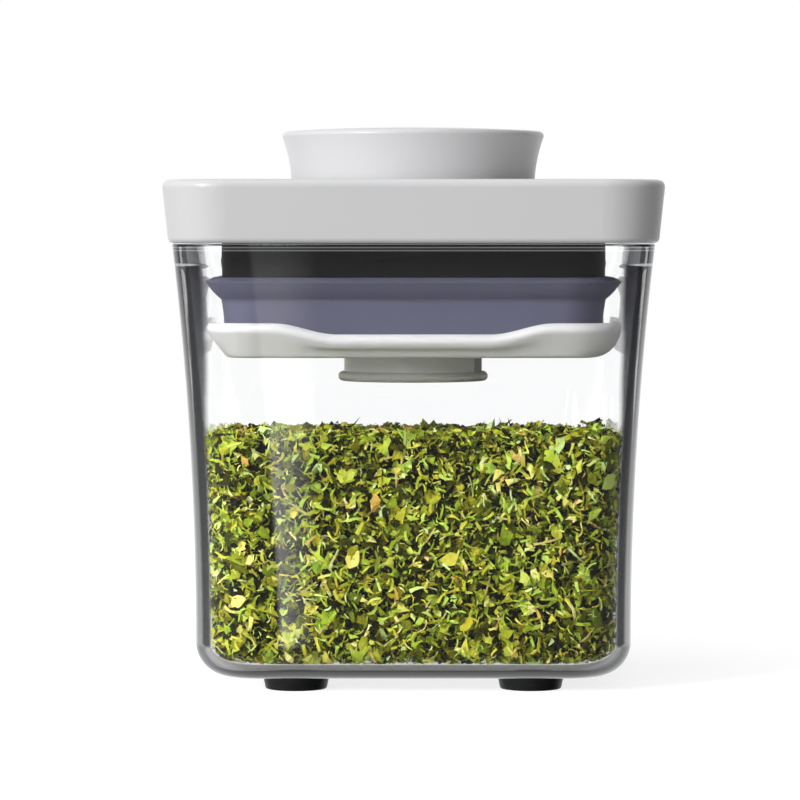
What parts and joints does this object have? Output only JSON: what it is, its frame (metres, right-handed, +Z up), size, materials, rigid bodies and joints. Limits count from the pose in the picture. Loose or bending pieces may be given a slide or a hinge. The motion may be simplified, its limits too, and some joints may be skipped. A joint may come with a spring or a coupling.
{
  "type": "herb keeper",
  "caption": "Small square clear jar on feet with a push-button lid whose cam draws up a tray and squeezes a gasket shut.",
  "frame": {"origin": "centre of the footprint, on the surface the feet stand on", "axes": "+Z up, -Y the front, +X to the right seen from the front"},
  "size_m": [0.081, 0.081, 0.0922],
  "materials": {
    "jar_clear": "polished clear copolyester",
    "dried_herbs": null,
    "foot_rubber": "matt",
    "lid_white": "satin white moulded plastic",
    "carrier_charcoal": "fine moulded texture",
    "gasket_silicone": "soft silicone",
    "tray_white": "satin off-white moulded plastic",
    "mount_grey": "satin grey moulded plastic",
    "mechanism_acetal": "natural acetal",
    "steel": "bright drawn wire and screws",
    "seal_rubber": "matt"
  },
  "bodies": {
    "root": {"jar": "jar_clear", "herb_fill": "dried_herbs", "foot_front_left": "foot_rubber", "foot_front_right": "foot_rubber", "foot_rear_left": "foot_rubber", "foot_rear_right": "foot_rubber"},
    "lid": {"lid_frame": "lid_white", "gasket_carrier": "carrier_charcoal", "carrier_screws": "steel", "cam_retainer": "steel", "latch_wire": "steel", "return_spring": "steel", "gasket": "gasket_silicone"},
    "button": {"button_cap": "lid_white", "button_plunger": "mechanism_acetal"},
    "cam": {"cam_ring": "mechanism_acetal"},
    "tray": {"bottom_tray": "tray_white", "draw_post": "mechanism_acetal", "post_seal": "seal_rubber", "accessory_mount": "mount_grey", "tray_screw": "steel"}
  },
  "joints": [
    {"name": "lid_lift", "type": "slide", "parent": "root", "child": "lid", "axis": [0, 0, 1], "range_m": [0, 0.06]},
    {"name": "button_press", "type": "slide", "parent": "lid", "child": "button", "axis": [0, 0, -1], "range_m": [0, 0.0075], "stiffness_N_per_m": 800, "springref_m": -0.005, "deforming": ["return_spring"]},
    {"name": "cam_turn", "type": "hinge", "parent": "lid", "child": "cam", "pos_m": [0, 0, 0.0755], "axis": [0, 0, 1], "range_deg": [-60, 0]},
    {"name": "tray_draw", "type": "slide", "parent": "lid", "child": "tray", "axis": [0, 0, 1], "range_m": [0, 0.002], "deforming": ["gasket"]}
  ],
  "couplings": [
    {"joint": "cam_turn", "follows": "button_press", "rad_per_m": -139.62},
    {"joint": "tray_draw", "follows": "button_press", "ratio": 0.26666}
  ]
}
